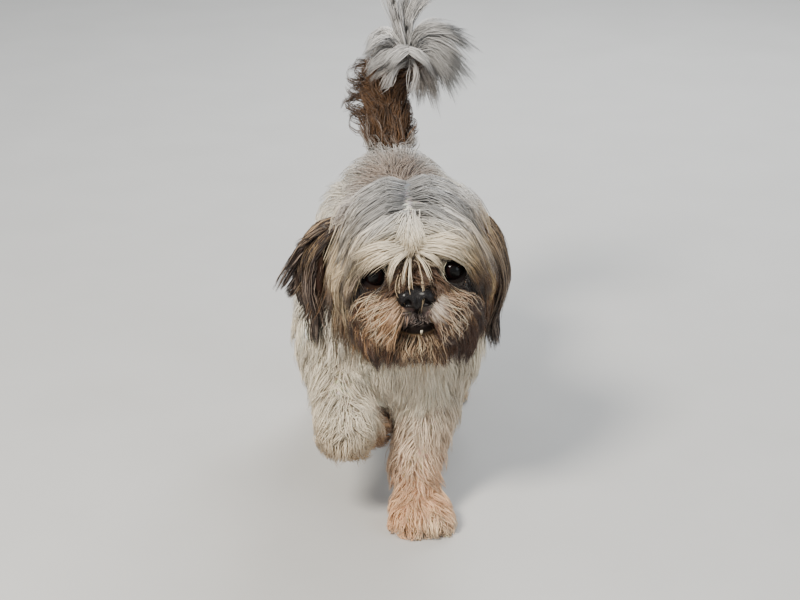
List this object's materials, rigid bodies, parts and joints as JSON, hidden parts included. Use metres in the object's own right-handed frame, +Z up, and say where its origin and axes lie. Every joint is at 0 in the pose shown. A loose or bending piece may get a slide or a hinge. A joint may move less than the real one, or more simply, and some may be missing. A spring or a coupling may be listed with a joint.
{
  "type": "shih tzu",
  "caption": "Life-size still model of a walking shih tzu with a white and cream coat, dark ears, a plumed tail over its back and the right forepaw lifted.",
  "frame": {"origin": "on the floor, under the middle of the model's box", "axes": "+X to the dog's left, +Y towards its tail so that it faces -Y, +Z up"},
  "size_m": [0.1868, 0.37, 0.3996],
  "materials": {
    "white_coat": "long, soft, wavy hair, white with a little cream",
    "cream_coat": "soft, wavy hair, cream with tan tips",
    "dark_coat": "long, soft hair, dark brown with tan",
    "nose_leather": "moist, pebbled, black",
    "eye": "wet and glossy, very dark brown"
  },
  "bodies": {
    "root": {"torso": "cream_coat", "neck": "cream_coat", "head": "white_coat", "lower_jaw": "cream_coat", "nose": "nose_leather", "left_eye": "eye", "right_eye": "eye", "left_ear": "dark_coat", "right_ear": "dark_coat", "left_foreleg": "white_coat", "right_foreleg": "white_coat", "left_hind_leg": "white_coat", "right_hind_leg": "white_coat", "left_forepaw": "cream_coat", "right_forepaw": "cream_coat", "left_hind_paw": "cream_coat", "right_hind_paw": "cream_coat", "tail_stem": "dark_coat", "tail_curl": "white_coat"}
  },
  "joints": []
}
